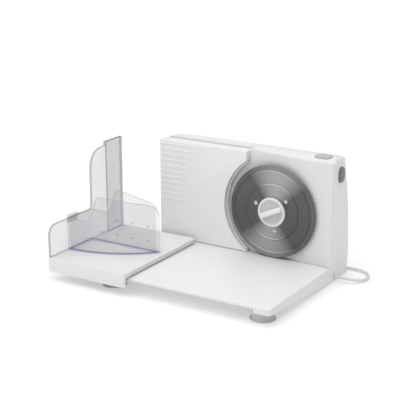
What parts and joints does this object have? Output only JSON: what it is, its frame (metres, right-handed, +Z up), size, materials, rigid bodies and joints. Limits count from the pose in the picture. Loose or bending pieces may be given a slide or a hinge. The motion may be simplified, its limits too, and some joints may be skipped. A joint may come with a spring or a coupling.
{
  "type": "electric food slicer",
  "caption": "Household electric food slicer: wedge base on feet, motor housing with round serrated blade, ribbed thickness plate, sliding carriage with clear wall and clear food pusher.",
  "frame": {"origin": "centre of the machine's bounding box, cord left out, on the surface it stands on", "axes": "+X to the user's right along the carriage's travel, +Y from the user to the housing, +Z up"},
  "size_m": [0.492, 0.4074, 0.227],
  "materials": {
    "white_plastic": "satin moulded",
    "inner_plastic": "moulded",
    "grey_plastic": "satin moulded",
    "grey_rubber": "matt",
    "blade_steel": "turned and polished",
    "bright_steel": "ground",
    "gear_plastic": "moulded",
    "clear_plastic": "clear polished",
    "motor_paint": "satin",
    "black_plastic": "moulded",
    "cord_vinyl": "smooth",
    "plug_brass": "polished"
  },
  "bodies": {
    "machine": {"base_cover": "white_plastic", "base_plate": "white_plastic", "blade_axle": "bright_steel", "cord_coil": "cord_vinyl", "cord_gland": "cord_vinyl", "cord_tie": "black_plastic", "drive_pin": "bright_steel", "foot_front_left": "grey_rubber", "foot_front_right": "grey_rubber", "foot_rear_left": "grey_rubber", "foot_rear_right": "grey_rubber", "front_panel": "white_plastic", "gear_bridge": "inner_plastic", "gear_well": "white_plastic", "motor_can": "motor_paint", "motor_stand": "inner_plastic", "plug_body": "cord_vinyl", "plug_pin_left": "plug_brass", "plug_pin_right": "plug_brass", "power_cord": "cord_vinyl", "rear_shell": "white_plastic", "switch_block": "black_plastic"},
    "gauge": {"gauge_plate": "white_plastic", "gauge_bracket": "inner_plastic"},
    "thickness_knob": {"thickness_knob": "white_plastic", "thickness_spindle": "bright_steel"},
    "blade": {"blade_disc": "blade_steel", "blade_gear": "gear_plastic", "blade_rivet_1": "bright_steel", "blade_rivet_2": "bright_steel", "blade_rivet_3": "bright_steel"},
    "lock_knob": {"lock_knob": "white_plastic"},
    "drive_gear": {"drive_gear": "gear_plastic"},
    "motor_shaft": {"motor_shaft": "bright_steel", "motor_fan": "black_plastic"},
    "safety_button": {"safety_button": "grey_plastic"},
    "power_button": {"power_button": "grey_plastic"},
    "carriage": {"carriage_plate": "white_plastic", "carriage_wall": "clear_plastic", "carriage_glide_front": "inner_plastic", "carriage_glide_rear": "inner_plastic"},
    "pusher": {"pusher": "clear_plastic"}
  },
  "joints": [
    {"name": "carriage_slide", "type": "slide", "parent": "machine", "child": "carriage", "axis": [1, 0, 0], "range_m": [0, 0.24]},
    {"name": "pusher_slide", "type": "slide", "parent": "carriage", "child": "pusher", "axis": [0, 1, 0], "range_m": [-0.027, 0.028]},
    {"name": "gauge_slide", "type": "slide", "parent": "machine", "child": "gauge", "axis": [0, 1, 0], "range_m": [-0.005, 0.01]},
    {"name": "thickness_knob_turn", "type": "hinge", "parent": "machine", "child": "thickness_knob", "pos_m": [-0.06025, 0.1471, 0.121], "axis": [0, 1, 0], "range_deg": [-93.5, 187]},
    {"name": "motor_spin", "type": "hinge", "parent": "machine", "child": "motor_shaft", "pos_m": [0.17583, 0.1101, 0.111], "axis": [0, 0, 1], "continuous": true},
    {"name": "blade_spin", "type": "hinge", "parent": "machine", "child": "blade", "pos_m": [0.10575, 0.0671, 0.1175], "axis": [0, 1, 0], "continuous": true},
    {"name": "lock_knob_turn", "type": "hinge", "parent": "blade", "child": "lock_knob", "pos_m": [0.10575, 0.0611, 0.1175], "axis": [0, 1, 0], "range_deg": [0, 90]},
    {"name": "drive_gear_spin", "type": "hinge", "parent": "machine", "child": "drive_gear", "pos_m": [0.13533, 0.0891, 0.17313], "axis": [0, 1, 0], "continuous": true},
    {"name": "safety_button_press", "type": "slide", "parent": "machine", "child": "safety_button", "axis": [0, 0, -1], "range_m": [0, 0.0025], "stiffness_N_per_m": 500},
    {"name": "power_button_press", "type": "slide", "parent": "machine", "child": "power_button", "axis": [-1, 0, 0], "range_m": [0, 0.0025], "stiffness_N_per_m": 500}
  ],
  "couplings": [
    {"joint": "thickness_knob_turn", "follows": "gauge_slide", "rad_per_m": 325.8},
    {"joint": "drive_gear_spin", "follows": "motor_spin", "ratio": 0.058824},
    {"joint": "blade_spin", "follows": "motor_spin", "ratio": -0.013841}
  ]
}
